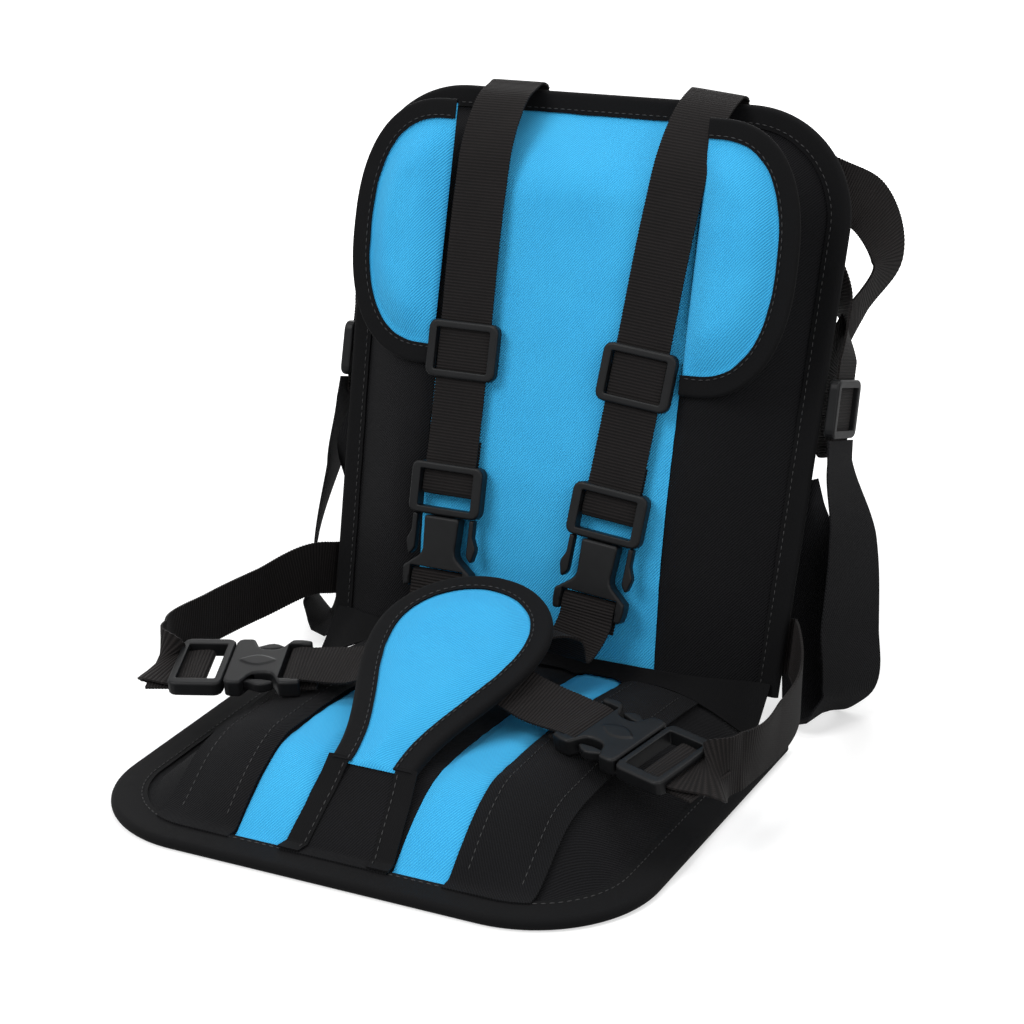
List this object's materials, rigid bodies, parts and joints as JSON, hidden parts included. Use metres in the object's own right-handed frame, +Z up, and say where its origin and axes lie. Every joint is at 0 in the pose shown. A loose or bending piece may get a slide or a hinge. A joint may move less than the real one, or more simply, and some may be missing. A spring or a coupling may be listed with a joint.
{
  "type": "folding fabric child seat",
  "caption": "Folding padded fabric child seat with a leaning backrest, head wings, a crotch pad and a five-point harness with side-release buckles.",
  "frame": {"origin": "on the floor, under the middle of the seat half's bottom cloth", "axes": "+Z up, -Y to the seat's front, +X to the right seen from the front"},
  "size_m": [0.3714, 0.394, 0.3428],
  "materials": {
    "blue_cloth": "woven, matt",
    "black_cloth": "woven, matt",
    "binding_tape": "folded tape, matt",
    "webbing": "ribbed webbing",
    "black_plastic": "moulded, satin",
    "foam": "open foam",
    "board": "pressed board"
  },
  "bodies": {
    "seat": {"crotch_base": "black_cloth", "fold_back_strip": "black_cloth", "fold_seam_band": "binding_tape", "seat_base": "black_cloth", "seat_binding": "binding_tape", "seat_cover_blue_l": "blue_cloth", "seat_cover_blue_r": "blue_cloth", "seat_cover_center": "black_cloth", "seat_cover_outer_l": "black_cloth", "seat_cover_outer_r": "black_cloth", "seat_foam": "foam", "seat_side_band_l": "black_cloth", "seat_side_band_r": "black_cloth", "waist_link_l": "webbing", "waist_link_r": "webbing", "waist_socket_l": "black_plastic", "waist_socket_r": "black_plastic", "waist_strap_l": "webbing", "waist_strap_r": "webbing"},
    "backrest": {"back_binding": "binding_tape", "back_board": "board", "back_cover_blue": "blue_cloth", "back_cover_side_l": "black_cloth", "back_cover_side_r": "black_cloth", "back_foam": "foam", "back_rear_cover": "black_cloth", "rear_band_l": "black_cloth", "rear_band_r": "black_cloth", "rear_strap_l": "webbing", "rear_strap_r": "webbing", "shoulder_link_l": "webbing", "shoulder_link_r": "webbing", "shoulder_socket_l": "black_plastic", "shoulder_socket_r": "black_plastic", "shoulder_strap_l": "webbing", "shoulder_strap_r": "webbing"},
    "crotch_pad": {"crotch_pad_back": "black_cloth", "crotch_pad_binding": "binding_tape", "crotch_pad_face": "blue_cloth"},
    "rear_slider_l": {"rear_slider_l": "black_plastic"},
    "rear_slider_r": {"rear_slider_r": "black_plastic"},
    "shoulder_insert_l": {"shoulder_insert_l": "black_plastic"},
    "shoulder_insert_r": {"shoulder_insert_r": "black_plastic"},
    "shoulder_prong_a_l": {"shoulder_prong_a_l": "black_plastic"},
    "shoulder_prong_a_r": {"shoulder_prong_a_r": "black_plastic"},
    "shoulder_prong_b_l": {"shoulder_prong_b_l": "black_plastic"},
    "shoulder_prong_b_r": {"shoulder_prong_b_r": "black_plastic"},
    "shoulder_slider_l": {"shoulder_slider_l": "black_plastic"},
    "shoulder_slider_r": {"shoulder_slider_r": "black_plastic"},
    "waist_insert_l": {"waist_insert_l": "black_plastic"},
    "waist_insert_r": {"waist_insert_r": "black_plastic"},
    "waist_prong_a_l": {"waist_prong_a_l": "black_plastic"},
    "waist_prong_a_r": {"waist_prong_a_r": "black_plastic"},
    "waist_prong_b_l": {"waist_prong_b_l": "black_plastic"},
    "waist_prong_b_r": {"waist_prong_b_r": "black_plastic"},
    "wing_l": {"wing_binding_l": "binding_tape", "wing_pad_l": "blue_cloth"},
    "wing_r": {"wing_binding_r": "binding_tape", "wing_pad_r": "blue_cloth"}
  },
  "joints": [
    {"name": "backrest_fold", "type": "hinge", "parent": "seat", "child": "backrest", "pos_m": [0, 0.12175, 0.0243], "axis": [1, 0, 0], "range_deg": [0, 32], "deforming": ["fold_seam_band", "fold_back_strip", "waist_strap_l", "waist_strap_r", "shoulder_link_l", "shoulder_link_r"]},
    {"name": "crotch_pad_fold", "type": "hinge", "parent": "seat", "child": "crotch_pad", "pos_m": [0, -0.06375, 0.03542], "axis": [1, 0, 0], "range_deg": [-9, 0], "deforming": ["waist_link_l", "waist_link_r"]},
    {"name": "wing_l_fold", "type": "hinge", "parent": "backrest", "child": "wing_l", "pos_m": [-0.078, 0.16857, 0.25901], "axis": [0, 0.247, 0.969], "range_deg": [0, 35]},
    {"name": "shoulder_slider_l_slide", "type": "slide", "parent": "backrest", "child": "shoulder_slider_l", "axis": [0, 0.247, 0.969], "range_m": [-0.02, 0.03]},
    {"name": "rear_slider_l_slide", "type": "slide", "parent": "backrest", "child": "rear_slider_l", "axis": [0, 0.247, 0.969], "range_m": [0, 0.012], "deforming": ["rear_strap_l"]},
    {"name": "shoulder_release_l", "type": "slide", "parent": "backrest", "child": "shoulder_insert_l", "axis": [0, 0.247, 0.969], "range_m": [0, 0.036], "deforming": ["shoulder_strap_l"]},
    {"name": "shoulder_prong_a_l_squeeze", "type": "hinge", "parent": "shoulder_insert_l", "child": "shoulder_prong_a_l", "pos_m": [-0.073, 0.12275, 0.10475], "axis": [0, -0.969, 0.247], "range_deg": [0, 5], "stiffness_Nm_per_rad": 0.05},
    {"name": "shoulder_prong_b_l_squeeze", "type": "hinge", "parent": "shoulder_insert_l", "child": "shoulder_prong_b_l", "pos_m": [-0.037, 0.12275, 0.10475], "axis": [0, 0.969, -0.247], "range_deg": [0, 5], "stiffness_Nm_per_rad": 0.05},
    {"name": "waist_release_l", "type": "slide", "parent": "seat", "child": "waist_insert_l", "axis": [-0.9455, -0.3238, -0.034], "range_m": [0, 0.036]},
    {"name": "waist_prong_a_l_squeeze", "type": "hinge", "parent": "waist_insert_l", "child": "waist_prong_a_l", "pos_m": [-0.11589, -0.01997, 0.04516], "axis": [0.0267, -0.1813, 0.9831], "range_deg": [0, 5], "stiffness_Nm_per_rad": 0.05, "deforming": ["waist_prong_a_l"]},
    {"name": "waist_prong_b_l_squeeze", "type": "hinge", "parent": "waist_insert_l", "child": "waist_prong_b_l", "pos_m": [-0.12614, 0.00937, 0.05085], "axis": [-0.0267, 0.1813, -0.9831], "range_deg": [0, 5], "stiffness_Nm_per_rad": 0.05, "deforming": ["waist_prong_b_l"]},
    {"name": "wing_r_fold", "type": "hinge", "parent": "backrest", "child": "wing_r", "pos_m": [0.078, 0.16857, 0.25901], "axis": [0, -0.247, -0.969], "range_deg": [0, 35]},
    {"name": "shoulder_slider_r_slide", "type": "slide", "parent": "backrest", "child": "shoulder_slider_r", "axis": [0.0941, 0.2459, 0.9647], "range_m": [-0.02, 0.03]},
    {"name": "rear_slider_r_slide", "type": "slide", "parent": "backrest", "child": "rear_slider_r", "axis": [0, 0.247, 0.969], "range_m": [0, 0.012], "deforming": ["rear_strap_r"]},
    {"name": "shoulder_release_r", "type": "slide", "parent": "backrest", "child": "shoulder_insert_r", "axis": [0.0941, 0.2459, 0.9647], "range_m": [0, 0.036], "deforming": ["shoulder_strap_r"]},
    {"name": "shoulder_prong_a_r_squeeze", "type": "hinge", "parent": "shoulder_insert_r", "child": "shoulder_prong_a_r", "pos_m": [0.02555, 0.12317, 0.10639], "axis": [0, -0.969, 0.247], "range_deg": [0, 5], "stiffness_Nm_per_rad": 0.05},
    {"name": "shoulder_prong_b_r_squeeze", "type": "hinge", "parent": "shoulder_insert_r", "child": "shoulder_prong_b_r", "pos_m": [0.06139, 0.12233, 0.10311], "axis": [0, 0.969, -0.247], "range_deg": [0, 5], "stiffness_Nm_per_rad": 0.05},
    {"name": "waist_release_r", "type": "slide", "parent": "seat", "child": "waist_insert_r", "axis": [0.9455, -0.3238, -0.034], "range_m": [0, 0.036]},
    {"name": "waist_prong_a_r_squeeze", "type": "hinge", "parent": "waist_insert_r", "child": "waist_prong_a_r", "pos_m": [0.12614, 0.00937, 0.05085], "axis": [-0.0267, -0.1813, 0.9831], "range_deg": [0, 5], "stiffness_Nm_per_rad": 0.05, "deforming": ["waist_prong_a_r"]},
    {"name": "waist_prong_b_r_squeeze", "type": "hinge", "parent": "waist_insert_r", "child": "waist_prong_b_r", "pos_m": [0.11589, -0.01997, 0.04516], "axis": [0.0267, 0.1813, -0.9831], "range_deg": [0, 5], "stiffness_Nm_per_rad": 0.05, "deforming": ["waist_prong_b_r"]}
  ],
  "couplings": [
    {"joint": "crotch_pad_fold", "follows": "backrest_fold", "ratio": -0.28125},
    {"joint": "shoulder_prong_b_l_squeeze", "follows": "shoulder_prong_a_l_squeeze", "ratio": 1},
    {"joint": "waist_prong_b_l_squeeze", "follows": "waist_prong_a_l_squeeze", "ratio": 1},
    {"joint": "shoulder_prong_b_r_squeeze", "follows": "shoulder_prong_a_r_squeeze", "ratio": 1},
    {"joint": "waist_prong_b_r_squeeze", "follows": "waist_prong_a_r_squeeze", "ratio": 1}
  ]
}
